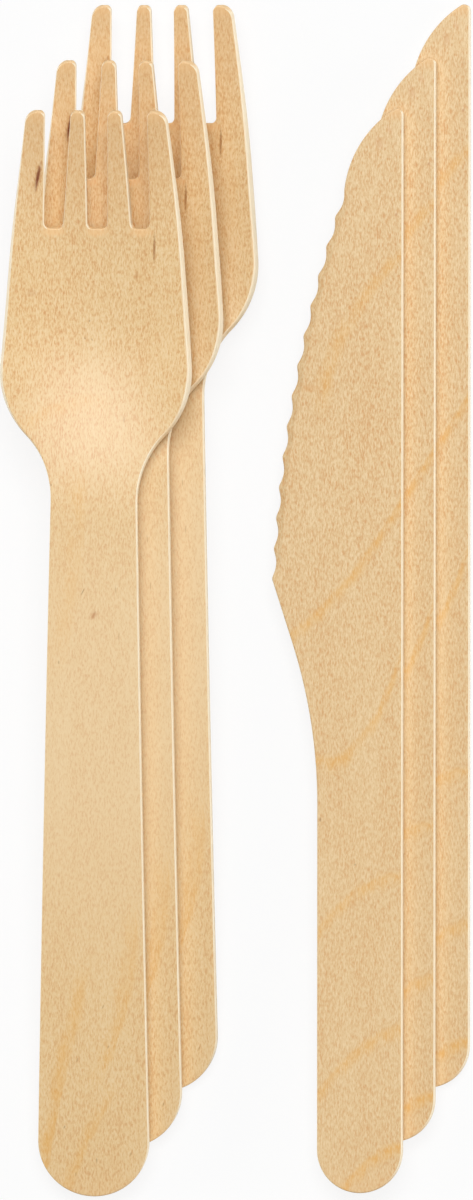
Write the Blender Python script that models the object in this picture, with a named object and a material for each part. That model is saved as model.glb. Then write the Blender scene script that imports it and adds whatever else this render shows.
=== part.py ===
"""Disposable birch cutlery: three forks and three knives, each kind fanned out in a low stack.

Metres, +Z up. The tines and the blade tips point to +Y, and the set lies on the plane z = 0.
A fork is die-cut from one sheet and pressed to shape. A knife stays flat, and its teeth are ground thin.
"""

import math

import bmesh
import bpy
from mathutils import Matrix, Vector
from mathutils.bvhtree import BVHTree
from mathutils.geometry import intersect_sphere_sphere_2d

# The sheet
SHEET = 0.0016  # thickness of the veneer
ARRIS = 0.00025  # chamfer that tumbling leaves along every edge

# The fork's outline. Widths lie across its axis, and "down" is measured from the tine tips.
FORK_LENGTH = 0.16465
FORK_END_WIDTH = 0.0172
FORK_NECK_WIDTH = 0.0129
FORK_NECK_DOWN = 0.0533
FORK_NECK_RADIUS = 0.016
SHOULDER_WIDTH = 0.0296
SHOULDER_DOWN = 0.0446
SHOULDER_RADIUS = 0.0155
SIDE_WIDTH = 0.0255  # where the head's sides bow out a little
SIDE_DOWN = 0.018
SIDE_RADIUS = 0.25
TINE_SPREAD = 0.0212  # across the outer sides of the outer tines, at their tips
OUTER_TIP_RADIUS = 0.0023
TINE_TIP_RADIUS = 0.00102
TINE_LENGTH = 0.0178
SLOT_CORNER_RADIUS = 0.0009
CENTRE_SLOT_MOUTH = 0.0035
CENTRE_SLOT_FOOT = 0.0031
INNER_TINE_TIP = 0.0021
INNER_TINE_FOOT = 0.0037
SIDE_SLOT_MOUTH = 0.0039
SIDE_SLOT_FOOT = 0.0029

# The fork's press tool
TINE_LIFT = 0.0040  # rise from the lowest line of the head to the tine tips
HEAD_LOW_DOWN = 0.032  # where the head lies lowest
CREST_HEIGHT = 0.0050  # rise from there to the crest of the handle, which then bows down to its end
CREST_DOWN = 0.062
CUP_DEPTH = 0.0028  # rise of the head's sides over its middle
CUP_TIP_SHARE = 0.35  # share of the cup that is left at the tine tips
CUP_FULL_DOWN = 0.024
CUP_FADE_DOWN = 0.038
CUP_END_DOWN = 0.058

# The knife's outline. Widths are measured from the straight back, and "down" from the tip.
KNIFE_LENGTH = 0.1641
KNIFE_HANDLE_WIDTH = 0.013
KNIFE_NECK_DOWN = 0.0928
KNIFE_NECK_RADIUS = 0.080
HEEL_WIDTH = 0.0199
HEEL_DOWN = 0.0712
TIP_RADIUS = 0.0009
BELLY_RADIUS = 0.0165
FIRST_TOOTH_WIDTH = 0.0089
FIRST_TOOTH_DOWN = 0.0119
TOOTH_LINE_RADIUS = 0.208  # bow of the line through the points of the teeth
TOOTH_COUNT = 13
TOOTH_DEPTH = 0.0005
TOOTH_POINT_SOFTNESS = 0.25  # 0 gives sharp points between the hollows
BEVEL_WIDTH = 0.0012
CUTTING_EDGE = 0.0012  # thickness left at the teeth

# How the set lies
SEAT_GAP = 0.0003  # clearance between pieces that lie on each other
FORK_TURN = math.radians(-0.15)  # of the back fork
FORK_TURN_STEP = math.radians(-0.19)  # from each fork to the one on it
KNIFE_TURN = math.radians(-0.05)
KNIFE_BACK_TO_FORK_AXIS = 0.0471
KNIFE_END_AHEAD = 0.00075
FORK_MIDDLE_STEP = Vector((0.0048, 0.0076, 0))  # from the front piece to the middle one
FORK_BACK_STEP = Vector((0.0053, 0.0085, 0))  # from the middle piece to the back one
KNIFE_MIDDLE_STEP = Vector((0.00475, 0.0077, 0))
KNIFE_BACK_STEP = Vector((0.00505, 0.00815, 0))

# How finely curves are divided
ARC_ERROR = 0.00002
TOOTH_STEPS = 6
PRESS_GRID = 0.0045
SLOPE_STEP = 0.0001
SNAP = 0.00001
SETTLING_ROUNDS = 5
LEAST_TILT = math.radians(0.03)  # a smaller tilt comes from rounding

BIRCH = (0.775, 0.545, 0.305, 1)
BIRCH_ROUGHNESS = 0.62
UP = Vector((0, 0, 1))
SKY = 0.1  # height from which rays look down


def smooth_rise(low, high, value):
    """0 before low, 1 after high, with a smooth change between them."""
    share = min(1, max(0, (value - low) / (high - low)))
    return share * share * (3 - 2 * share)


def arc(centre, start, turn):
    """Points from start, turned about centre by an angle, close enough together for ARC_ERROR."""
    arm = start - centre
    step = 2 * math.acos(1 - min(1, ARC_ERROR / arm.length))
    count = max(1, math.ceil(abs(turn) / step))
    return [centre + Matrix.Rotation(turn * i / count, 2) @ arm for i in range(count + 1)]


def rounded(corners):
    """An open run of points through corners (x, y, radius), where the two ends stay sharp.

    A radius that is too large for its neighbours is cut down until the curves just meet.
    """
    spots = [Vector(corner[:2]) for corner in corners]
    turns = [0] + [(b - a).angle_signed(c - b) for a, b, c in zip(spots, spots[1:], spots[2:])] + [0]
    reach = [corner[2] * math.tan(abs(turn) / 2) for corner, turn in zip(corners, turns)]
    fits = [min(1, (b - a).length / max(one + two, SNAP))
            for a, b, one, two in zip(spots, spots[1:], reach, reach[1:])]
    points = [spots[0]]
    for i in range(1, len(spots) - 1):
        length = reach[i] * min(fits[i - 1], fits[i])
        if length < SNAP:
            points.append(spots[i])
            continue
        start = spots[i] + (spots[i - 1] - spots[i]).normalized() * length
        radius = length / math.tan(abs(turns[i]) / 2)
        side = math.copysign(1, -turns[i])  # angle_signed is positive for a clockwise turn
        along = (spots[i] - spots[i - 1]).normalized()
        centre = start + Vector((-along.y, along.x)) * radius * side
        points += arc(centre, start, -turns[i])
    return without_repeats(points + [spots[-1]])


def without_repeats(points):
    """The points with those that lie on the one before them left out."""
    return [here for before, here in zip([None] + points, points)
            if before is None or (here - before).length > SNAP]


def fork_outline():
    """The fork's outline, anticlockwise, from the middle of its rounded end."""
    tip = FORK_LENGTH
    foot = tip - TINE_LENGTH
    inner_tip = CENTRE_SLOT_MOUTH / 2 + INNER_TINE_TIP
    inner_foot = CENTRE_SLOT_FOOT / 2 + INNER_TINE_FOOT
    right = rounded([
        (0, 0, 0),
        (FORK_END_WIDTH / 2, 0, FORK_END_WIDTH),
        (FORK_NECK_WIDTH / 2, tip - FORK_NECK_DOWN, FORK_NECK_RADIUS),
        (SHOULDER_WIDTH / 2, tip - SHOULDER_DOWN, SHOULDER_RADIUS),
        (SIDE_WIDTH / 2, tip - SIDE_DOWN, SIDE_RADIUS),
        (TINE_SPREAD / 2, tip, OUTER_TIP_RADIUS),
        (inner_tip + SIDE_SLOT_MOUTH, tip, TINE_TIP_RADIUS),
        (inner_foot + SIDE_SLOT_FOOT, foot, SLOT_CORNER_RADIUS),
        (inner_foot, foot, SLOT_CORNER_RADIUS),
        (inner_tip, tip, TINE_TIP_RADIUS),
        (CENTRE_SLOT_MOUTH / 2, tip, TINE_TIP_RADIUS),
        (CENTRE_SLOT_FOOT / 2, foot, SLOT_CORNER_RADIUS),
        (0, foot, 0),
    ])
    left = [Vector((-point.x, point.y)) for point in reversed(right)]
    return right + left[1:-1]


def belly():
    """The rounded tip and the plain curve below it, down to the first tooth."""
    tip_centre = Vector((-TIP_RADIUS, KNIFE_LENGTH - TIP_RADIUS))
    first_tooth = Vector((-FIRST_TOOTH_WIDTH, KNIFE_LENGTH - FIRST_TOOTH_DOWN))
    reach = BELLY_RADIUS - TIP_RADIUS
    centres = intersect_sphere_sphere_2d(tip_centre, reach, first_tooth, BELLY_RADIUS)
    centre = max(centres, key=lambda spot: spot.x)
    meeting = (tip_centre - centre).normalized()
    tip_start = Vector((0, tip_centre.y))
    tip_arc = arc(tip_centre, tip_start, math.atan2(meeting.y, meeting.x))
    belly_start = centre + meeting * BELLY_RADIUS
    turn = -(belly_start - centre).angle_signed(first_tooth - centre)
    return tip_arc + arc(centre, belly_start, turn)[1:]


def cutting_edge(first_tooth, heel):
    """The serrated edge, as (outline points, points of the bevel's inner line, heights of the edge)."""
    chord = heel - first_tooth
    across = Vector((-chord.y, chord.x)).normalized()
    centre = (first_tooth + heel) / 2 + across * math.sqrt(TOOTH_LINE_RADIUS ** 2 - chord.length ** 2 / 4)
    turn = 2 * math.asin(chord.length / 2 / TOOTH_LINE_RADIUS)
    most = math.hypot(1, TOOTH_POINT_SOFTNESS) - TOOTH_POINT_SOFTNESS
    edge, bevel, heights = [], [], []
    count = TOOTH_COUNT * TOOTH_STEPS
    for i in range(count + 1):
        outwards = Matrix.Rotation(turn * i / count, 2) @ (first_tooth - centre).normalized()
        line = centre + outwards * TOOTH_LINE_RADIUS
        wave = math.hypot(math.sin(math.pi * i / TOOTH_STEPS), TOOTH_POINT_SOFTNESS) - TOOTH_POINT_SOFTNESS
        ground = smooth_rise(0, TOOTH_STEPS, min(i, count - i))
        edge.append(line - outwards * TOOTH_DEPTH * wave / most)
        bevel.append(line - outwards * (ARRIS + (BEVEL_WIDTH - ARRIS) * ground))
        heights.append(SHEET - ARRIS - (SHEET - ARRIS - CUTTING_EDGE) * ground)
    return edge, bevel, heights


def inset(outline, depth):
    """A closed outline moved inwards, each point along the bisector of its corner."""
    moved = []
    for before, here, after in zip(outline[-1:] + outline, outline, outline[1:] + outline[:1]):
        along, onwards = (here - before).normalized(), (after - here).normalized()
        inwards = Vector((-along.y, along.x))
        bisector = (inwards + Vector((-onwards.y, onwards.x))).normalized()
        moved.append(here + bisector * depth / bisector.dot(inwards))
    return moved


def lifted(outline, heights):
    """The outline's points at their heights."""
    return [Vector((point.x, point.y, height)) for point, height in zip(outline, heights)]


def slab(rings):
    """A closed solid through rings of points, the lowest first, with a cap at each end."""
    solid = bmesh.new()
    loops = [[solid.verts.new(point) for point in ring] for ring in rings]
    for lower, upper in zip(loops, loops[1:]):
        for i in range(len(lower)):
            solid.faces.new((lower[i - 1], lower[i], upper[i], upper[i - 1]))
    solid.faces.new(loops[0][::-1])
    solid.faces.new(loops[-1])
    return solid


def flat_fork():
    """The die-cut fork, flat, with its lower face at z = 0."""
    outline = fork_outline()
    face = inset(outline, ARRIS)
    levels = [(face, 0), (outline, ARRIS), (outline, SHEET - ARRIS), (face, SHEET)]
    return slab([lifted(ring, [height] * len(ring)) for ring, height in levels])


def knife_solid():
    """The knife, flat, with its lower face at z = 0 and its bevel on the upper face."""
    tip = KNIFE_LENGTH
    end = KNIFE_HANDLE_WIDTH
    curve = belly()
    heel = Vector((-HEEL_WIDTH, tip - HEEL_DOWN))
    edge, bevel, heights = cutting_edge(curve[-1], heel)
    plain = rounded([
        (heel.x, heel.y, 0),
        (-end, tip - KNIFE_NECK_DOWN, KNIFE_NECK_RADIUS),
        (-end, 0, end),
        (0, 0, end),
        (curve[0].x, curve[0].y, 0),
    ])[1:] + curve[1:-1]
    outline = edge + plain
    face = inset(outline, ARRIS)
    return slab([
        lifted(face, [0] * len(face)),
        lifted(outline, [ARRIS] * len(outline)),
        lifted(outline, heights + [SHEET - ARRIS] * len(plain)),
        lifted(bevel + face[len(bevel):], [SHEET] * len(face)),
    ])


def press_height(x, y):
    """Height of the pressed sheet's middle over its lowest line, at a place in the fork's outline."""
    down = FORK_LENGTH - y
    tines = TINE_LIFT * max(0, 1 - down / HEAD_LOW_DOWN) ** 2
    past_crest = max(0, (down - CREST_DOWN) / (FORK_LENGTH - CREST_DOWN))
    bridge = CREST_HEIGHT * (smooth_rise(HEAD_LOW_DOWN, CREST_DOWN, down) - past_crest ** 2)
    full = CUP_TIP_SHARE + (1 - CUP_TIP_SHARE) * smooth_rise(0, CUP_FULL_DOWN, down)
    cup = CUP_DEPTH * full * (1 - smooth_rise(CUP_FADE_DOWN, CUP_END_DOWN, down))
    return tines + bridge + cup * (2 * x / SHOULDER_WIDTH) ** 2


def pressed(point):
    """Where the press takes a point of the flat fork. The sheet keeps its thickness."""
    x, y, z = point
    height = press_height(x, y)
    slope_x = (press_height(x + SLOPE_STEP, y) - height) / SLOPE_STEP
    slope_y = (press_height(x, y + SLOPE_STEP) - height) / SLOPE_STEP
    normal = Vector((-slope_x, -slope_y, 1)).normalized()
    return Vector((x, y, height)) + normal * (z - SHEET / 2)


def fork_solid():
    """The fork, divided by a grid so that it can bend, and pressed."""
    solid = flat_fork()
    rows = math.ceil(FORK_LENGTH / PRESS_GRID)
    columns = math.ceil(SHOULDER_WIDTH / 2 / PRESS_GRID)
    cuts = [(Vector((0, PRESS_GRID * i, 0)), Vector((0, 1, 0))) for i in range(1, rows)]
    cuts += [(Vector((PRESS_GRID * i, 0, 0)), Vector((1, 0, 0))) for i in range(-columns, columns + 1)]
    for place, direction in cuts:
        geometry = solid.verts[:] + solid.edges[:] + solid.faces[:]
        bmesh.ops.bisect_plane(solid, geom=geometry, dist=SNAP, plane_co=place, plane_no=direction)
    for vertex in solid.verts:
        vertex.co = pressed(vertex.co)
    return solid


def mesh_of(solid, name):
    """A mesh from the solid, smooth across its faces and crisp at its edges."""
    mesh = bpy.data.meshes.new(name)
    solid.to_mesh(mesh)
    solid.free()
    mesh.shade_smooth()
    mesh.set_sharp_from_angle(angle=math.radians(25))
    return mesh


def birch(name):
    """Plain sanded birch."""
    material = bpy.data.materials.new(name)
    material.use_nodes = True
    shader = material.node_tree.nodes["Principled BSDF"]
    shader.inputs["Base Color"].default_value = BIRCH
    shader.inputs["Roughness"].default_value = BIRCH_ROUGHNESS
    shader.inputs["Metallic"].default_value = 0
    material.diffuse_color = BIRCH
    return material


def corners_of(piece):
    """The piece's vertices where it lies."""
    return [piece.matrix_basis @ vertex.co for vertex in piece.data.vertices]


def surface_of(piece):
    """The piece's surface where it lies, for rays to meet."""
    return BVHTree.FromPolygons(corners_of(piece), [face.vertices for face in piece.data.polygons])


def balance_point(piece):
    """The centre of the piece's weight, summed over the wedges between its faces and the origin."""
    volume = 0
    moment = Vector()
    corners = corners_of(piece)
    piece.data.calc_loop_triangles()
    for triangle in piece.data.loop_triangles:
        a, b, c = (corners[i] for i in triangle.vertices)
        wedge = a.dot(b.cross(c))
        volume += wedge
        moment += wedge * (a + b + c) / 4
    return moment / volume


def needed_lifts(piece, below):
    """Spots (x, y, lift): how far the piece must rise there to clear the ground and the pieces below."""
    surface = surface_of(piece)
    floors = [surface_of(other) for other in below]
    spots = []
    for corner in corners_of(piece):
        hits = [floor.ray_cast(Vector((corner.x, corner.y, SKY)), -UP)[0] for floor in floors]
        highest = max([0] + [hit.z + SEAT_GAP for hit in hits if hit])
        spots.append(Vector((corner.x, corner.y, highest - corner.z)))
    for corner in [corner for other in below for corner in corners_of(other)]:
        hit = surface.ray_cast(Vector((corner.x, corner.y, -SKY)), UP)[0]
        if hit:
            spots.append(Vector((corner.x, corner.y, corner.z + SEAT_GAP - hit.z)))
    return spots


def settle(piece, below):
    """Bring the piece down, balanced, onto the ground plane and the pieces below it.

    It comes to rest on three spots round its balance point. They are a facet of the hull over the
    lifts that it needs, so each round tilts it to that facet and brings it to that height.
    """
    for _ in range(SETTLING_ROUNDS):
        hull = bmesh.new()
        for spot in needed_lifts(piece, below):
            hull.verts.new(spot)
        bmesh.ops.convex_hull(hull, input=hull.verts[:])
        balance = balance_point(piece)
        above = Vector((balance.x, balance.y, SKY))
        height, normal = BVHTree.FromBMesh(hull).ray_cast(above, -UP)[:2]
        hull.free()
        tilt = UP.rotation_difference(normal)
        if tilt.angle < LEAST_TILT:
            break
        about = Matrix.Translation(balance)
        piece.matrix_basis = about @ tilt.to_matrix().to_4x4() @ about.inverted() @ piece.matrix_basis
        piece.location.z += height.z
    piece.location.z += max(spot.z for spot in needed_lifts(piece, below))


def lay_stack(kind, mesh, place, steps, turns, material):
    """Three like pieces, the back one on the ground and each other on the one behind it.

    The front piece lies at place, and steps lead from it to the middle piece and on to the back one.
    Turns are the back piece's turn and how much further each piece on it is turned.
    """
    mesh.materials.append(material)
    places = {
        "back": place + steps[0] + steps[1],
        "middle": place + steps[0],
        "front": place,
    }
    stack = []
    for number, (position, spot) in enumerate(places.items()):
        piece = bpy.data.objects.new(f"{kind}_{position}", mesh)
        bpy.context.collection.objects.link(piece)
        turned = Matrix.Rotation(turns[0] + turns[1] * number, 4, "Z")
        piece.matrix_basis = Matrix.Translation(spot) @ turned
        settle(piece, stack)
        stack.append(piece)
    return stack


def centre_on_origin(pieces):
    """Move the pieces together, so that the middle of their extent in X and Y is the origin."""
    corners = [corner for piece in pieces for corner in corners_of(piece)]
    for axis in (0, 1):
        values = [corner[axis] for corner in corners]
        for piece in pieces:
            piece.location[axis] -= (min(values) + max(values)) / 2


def main():
    """Model the set."""
    for old in list(bpy.data.objects):
        bpy.data.objects.remove(old, do_unlink=True)
    knife_place = Vector((KNIFE_BACK_TO_FORK_AXIS, KNIFE_END_AHEAD, 0))
    forks = lay_stack("fork", mesh_of(fork_solid(), "fork"), Vector(), (FORK_MIDDLE_STEP, FORK_BACK_STEP),
                      (FORK_TURN, FORK_TURN_STEP), birch("fork birch"))
    knives = lay_stack("knife", mesh_of(knife_solid(), "knife"), knife_place,
                       (KNIFE_MIDDLE_STEP, KNIFE_BACK_STEP), (KNIFE_TURN, 0), birch("knife birch"))
    centre_on_origin(forks + knives)


if __name__ == "__main__":
    main()
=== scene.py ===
"""Looks of a disposable birch cutlery set: three forks and three knives, fanned out in two low stacks.

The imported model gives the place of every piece. Each fork and knife is built here again with a fine
mesh: the flat piece as the die cuts it, then a geometry node tree that presses the fork or cuts the
knife's teeth. Lengths are in metres unless a name or a comment says millimetres.
"""

import logging
import math
from collections.abc import Callable, Sequence
from dataclasses import dataclass, field
from enum import Enum
from functools import partial
from typing import Any

import bmesh
import bpy
import numpy as np
from bpy.types import Material, Mesh, Node, NodeSocket, NodeTree, Object, World
from mathutils import Matrix, Vector
from mathutils.geometry import intersect_sphere_sphere_2d

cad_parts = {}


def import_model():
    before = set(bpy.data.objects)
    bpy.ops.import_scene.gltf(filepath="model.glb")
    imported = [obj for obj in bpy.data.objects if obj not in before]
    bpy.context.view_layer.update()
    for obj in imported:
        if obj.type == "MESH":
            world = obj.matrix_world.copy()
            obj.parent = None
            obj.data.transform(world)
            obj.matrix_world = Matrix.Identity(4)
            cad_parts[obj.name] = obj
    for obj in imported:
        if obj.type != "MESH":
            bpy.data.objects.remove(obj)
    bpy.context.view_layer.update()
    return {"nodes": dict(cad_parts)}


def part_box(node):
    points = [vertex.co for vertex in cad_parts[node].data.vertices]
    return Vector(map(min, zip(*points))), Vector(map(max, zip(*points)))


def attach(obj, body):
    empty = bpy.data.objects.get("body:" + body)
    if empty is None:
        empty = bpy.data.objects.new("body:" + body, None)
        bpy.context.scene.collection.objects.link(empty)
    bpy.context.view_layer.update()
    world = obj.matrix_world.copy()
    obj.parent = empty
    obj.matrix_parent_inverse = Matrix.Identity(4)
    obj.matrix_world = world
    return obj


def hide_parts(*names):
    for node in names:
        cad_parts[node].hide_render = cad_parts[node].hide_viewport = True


MM = 0.001
SNAP = 0.002 * MM  # points nearer to each other than this are one point
WHITE = (1.0, 1.0, 1.0, 1.0)

# Nodes that are used again and again
MATH = "ShaderNodeMath"
VECTOR_MATH = "ShaderNodeVectorMath"
MAP_RANGE = "ShaderNodeMapRange"
MAPPING = "ShaderNodeMapping"
COMBINE = "ShaderNodeCombineXYZ"
SEPARATE = "ShaderNodeSeparateXYZ"
SMOOTH = {"interpolation_type": "SMOOTHSTEP"}  # for a Map Range node without corners

Link = Node | NodeSocket  # what a node's input can be linked to
Adder = Callable[..., Node]  # add_node for one tree

log = logging.getLogger("cutlery")


class Stack(Enum):
    """The places in a stack, from the surface up."""

    BACK = "back"
    MIDDLE = "middle"
    FRONT = "front"


class Run(Enum):
    """How a growth line crosses a piece."""

    ALONG = "along the grain"
    ACROSS = "across the grain"


def add_node(tree: NodeTree, kind: str, inputs: dict[int | str, Any] | None = None,
             **settings: Any) -> Node:
    """Add a node to a tree.

    Args:
        tree: The tree that the node joins.
        kind: Blender's name for the type of node.
        inputs: For an input's number, name or identifier, its value, or what is linked to it. A
            node stands for the first of its outputs that is in use.
        settings: Values for the node's own properties.

    Returns:
        The new node.
    """
    node = tree.nodes.new(kind)
    for name, value in settings.items():
        setattr(node, name, value)
    for key, value in (inputs or {}).items():
        named = {socket.identifier: socket for socket in node.inputs}
        socket = named[key] if key in named else node.inputs[key]
        if isinstance(value, Node):
            value = next(output for output in value.outputs if output.enabled)
        if isinstance(value, NodeSocket):
            tree.links.new(value, socket)
        else:
            socket.default_value = value
    return node


def node_adder(block: Material | World) -> Adder:
    """Clear the nodes that a new material or world starts with.

    Args:
        block: The material or world.

    Returns:
        The function add_node, for its tree.
    """
    block.use_nodes = True
    block.node_tree.nodes.clear()
    return partial(add_node, block.node_tree)


def colour(code: str) -> tuple[float, float, float, float]:
    """Turn an sRGB hex colour into the linear one that shaders use.

    Args:
        code: Six hex digits after a hash sign.

    Returns:
        Linear red, green and blue, and an alpha of 1.
    """
    parts = [int(code[i:i + 2], 16) / 255 for i in (1, 3, 5)]
    linear = [part / 12.92 if part <= 0.04045 else ((part + 0.055) / 1.055) ** 2.4 for part in parts]
    return (linear[0], linear[1], linear[2], 1.0)


def painted(add: Adder, base: str, layers: Sequence[tuple[Link, str]]) -> Node:
    """Lay colours over each other.

    Args:
        add: The function add_node, for the material's tree.
        base: The lowest colour.
        layers: The strength and the colour of each layer above it.

    Returns:
        The colour that shows.
    """
    shown: Any = colour(base)
    for strength, code in layers:
        shown = add("ShaderNodeMix", {"Factor_Float": strength, "A_Color": shown,
                                      "B_Color": colour(code)}, data_type="RGBA")
    return shown


@dataclass(frozen=True)
class Ramp:
    """How a pattern or a distance sets a strength."""

    start: float
    stop: float
    first: float = 0.0  # the strength at the start and before it
    last: float = 1.0

    def of(self, value: Link) -> dict[int, Any]:
        """Return the inputs of a Map Range node that reads a value."""
        return {0: value, 1: self.start, 2: self.stop, 3: self.first, 4: self.last}


@dataclass(frozen=True)
class Grain:
    """A pattern of spots drawn out along the wood's grain. Millimetres."""

    width: float
    length: float
    detail: float  # how many finer layers are added

    def spread(self, add: Adder, place: Link, unit: float = 1.0) -> Node:
        """Add the pattern to a material.

        Args:
            add: The function add_node, for the material's tree.
            place: Where a point lies in the flat sheet.
            unit: What a millimetre is in that place.

        Returns:
            The pattern, about 0.5 in the middle.
        """
        across = 1 / (self.width * unit)
        scaled = add(MAPPING, {0: place, "Scale": (across, 1 / (self.length * unit), across)})
        return add("ShaderNodeTexNoise", {"Vector": scaled, "Scale": 1.0, "Detail": self.detail})


@dataclass(frozen=True)
class Streak:
    """A mark in the veneer, long along the grain; on the fork, two broad ones are painted sheen and
    painted shade. Millimetres from the piece's origin.
    """

    x: float
    y: float
    width: float
    length: float
    lean: float  # degrees that its top leans to the right
    strength: float
    tone: str


@dataclass(frozen=True)
class GrowthLine:
    """Where one summer's wood ends: dark on one side, fading on the other. Millimetres."""

    run: Run
    points: tuple[tuple[float, float], tuple[float, float], tuple[float, float]]
    strength: float
    edge: float
    fade: float
    reach: tuple[float, float] = (-1000.0, 1000.0)  # span of the line along its own run

    def curve(self) -> list[float]:
        """Find the parabola through the three points.

        Returns:
            Its factors, the highest power first.
        """
        spots = np.array(self.points)
        if self.run is Run.ALONG:
            spots = spots[:, ::-1]
        return np.polyfit(spots[:, 0], spots[:, 1], 2).tolist()


FINE_MARK = "#94683C"
BROWN_MARK = "#8A5A30"
SLOT_FOOT = "#F8CA90"  # the warm wood at the foot of each slot, where the die crossed the grain
FORK_MARKS_AND_PAINTED_LIGHT = (
    # Paler over the handle and the neck: a paler wood tone that also serves as a painted sheen
    Streak(0.0, 72.0, 60.0, 84.0, 0.0, 0.36, "#F7DCB2"),
    # Darker towards the tine tips: painted shade where the tines tilt away from the light
    Streak(0.0, 164.0, 60.0, 44.0, 0.0, 0.3, "#D8A470"),
    Streak(-9.0, 154.6, 1.3, 5.4, 11.6, 0.45, "#A8621E"),
    Streak(-9.0, 154.7, 0.62, 4.7, 11.6, 1.0, "#763400"),
    Streak(8.9, 144.0, 0.5, 5.0, 1.0, 0.72, "#9A5A16"),
    Streak(6.1, 139.8, 0.6, 1.7, 15.0, 0.55, "#C07420"),
    Streak(4.4, 117.8, 0.2, 1.3, 0.0, 0.6, "#A06A38"),
    Streak(-10.0, 137.0, 2.2, 1.6, 0.0, 0.16, "#B0683C"),
    Streak(-1.2, 132.8, 0.3, 0.4, 30.0, 0.55, "#9C6A38"),
    Streak(-1.9, 130.1, 0.3, 0.45, -20.0, 0.55, "#9C6A38"),
    Streak(-0.8, 129.9, 0.26, 0.5, -30.0, 0.5, "#9C6A38"),
    Streak(0.1, 88.5, 1.7, 1.9, 25.0, 0.3, "#C0743A"),
    Streak(0.1, 88.5, 0.5, 1.5, 25.0, 0.5, "#B06A34"),
    Streak(-1.6, 92.0, 0.24, 1.2, 25.0, 0.6, FINE_MARK),
    Streak(3.4, 92.4, 0.22, 1.6, -5.0, 0.35, "#A8733C"),
    Streak(3.9, 85.2, 0.22, 1.5, 0.0, 0.35, "#A8733C"),
    Streak(-5.2, 81.3, 0.3, 0.7, 0.0, 0.4, FINE_MARK),
    Streak(-6.5, 108.0, 0.3, 0.5, 0.0, 0.5, BROWN_MARK),
    Streak(1.5, 29.0, 0.24, 0.9, 30.0, 0.4, FINE_MARK),
    Streak(2.3, 22.9, 0.26, 0.7, 25.0, 0.45, FINE_MARK),
    Streak(-2.4, 20.9, 0.24, 0.8, 20.0, 0.4, FINE_MARK),
    Streak(-4.4, 10.6, 0.28, 0.7, 25.0, 0.5, BROWN_MARK),
    Streak(0.5, 5.6, 0.26, 0.9, 0.0, 0.5, BROWN_MARK),
    Streak(-2.7, 3.4, 0.26, 0.8, 15.0, 0.35, FINE_MARK),
    Streak(5.7, 6.6, 0.24, 0.7, 20.0, 0.4, FINE_MARK),
    *(Streak(x, 146.4, 4.4, 2.0, 0.0, 0.6, SLOT_FOOT) for x in (0.0, -6.8, 6.8)),
)
FORK_LINES = (
    GrowthLine(Run.ALONG, ((-7.1, 4.6), (-6.2, 9.4), (-4.0, 21.6)), 0.54, 0.4, 2.1, (-3.0, 24.0)),
    GrowthLine(Run.ALONG, ((-1.7, 5.9), (-0.3, 9.1), (1.8, 13.5)), 0.34, 0.6, 2.6, (-3.0, 18.0)),
    GrowthLine(Run.ALONG, ((1.8, 19.2), (4.9, 28.3), (6.6, 42.0)), 0.34, 0.6, 3.0, (16.0, 46.0)),
    GrowthLine(Run.ALONG, ((-3.8, 21.7), (-2.8, 25.1), (-1.2, 33.0)), 0.34, 0.8, 3.0, (18.0, 36.0)),
    GrowthLine(Run.ALONG, ((-4.2, 84.0), (-2.4, 96.0), (-1.9, 110.0)), 0.24, 1.2, 4.0, (78.0, 112.0)),
    GrowthLine(Run.ACROSS, ((-13.0, 116.0), (-6.0, 120.0), (1.0, 121.0)), 0.2, 0.8, 3.0, (-15.0, 3.0)),
)
KNIFE_STREAKS = (
    Streak(-1.0, 148.1, 0.45, 0.6, 0.0, 0.45, "#B8602E"),
    Streak(-12.5, 56.5, 0.3, 0.8, 0.0, 0.6, BROWN_MARK),
    Streak(-7.2, 49.7, 0.28, 0.4, 0.0, 0.5, "#7A4E26"),
    Streak(-3.6, 158.9, 2.6, 1.4, 70.0, 0.28, "#C98244"),
    Streak(-9.3, 152.3, 1.2, 1.6, 0.0, 0.2, "#C07A40"),
    Streak(-14.2, 121.8, 3.6, 1.5, 0.0, 0.34, "#D9984E"),
    Streak(-2.1, 160.9, 1.7, 1.0, 60.0, 0.3, "#D08A4A"),
)
KNIFE_LINES = (
    GrowthLine(Run.ALONG, ((-11.7, 121.4), (-7.2, 133.1), (-1.1, 141.0)), 0.36, 1.5, 2.2, (117.0, 146.0)),
    GrowthLine(Run.ACROSS, ((-16.2, 85.0), (-8.6, 92.5), (-0.6, 104.1)), 0.45, 1.2, 2.4),
    GrowthLine(Run.ACROSS, ((-12.3, 65.4), (-3.6, 73.2), (-0.6, 80.4)), 0.44, 1.4, 2.8),
    GrowthLine(Run.ACROSS, ((-12.3, 40.3), (-5.5, 46.6), (-0.2, 48.0)), 0.37, 1.1, 2.4),
    GrowthLine(Run.ACROSS, ((-12.3, 15.6), (-5.7, 22.4), (-1.0, 24.8)), 0.4, 1.2, 2.4),
    GrowthLine(Run.ACROSS, ((-6.5, 3.5), (-4.1, 5.5), (-0.2, 7.4)), 0.54, 1.2, 2.2),
)


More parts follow.
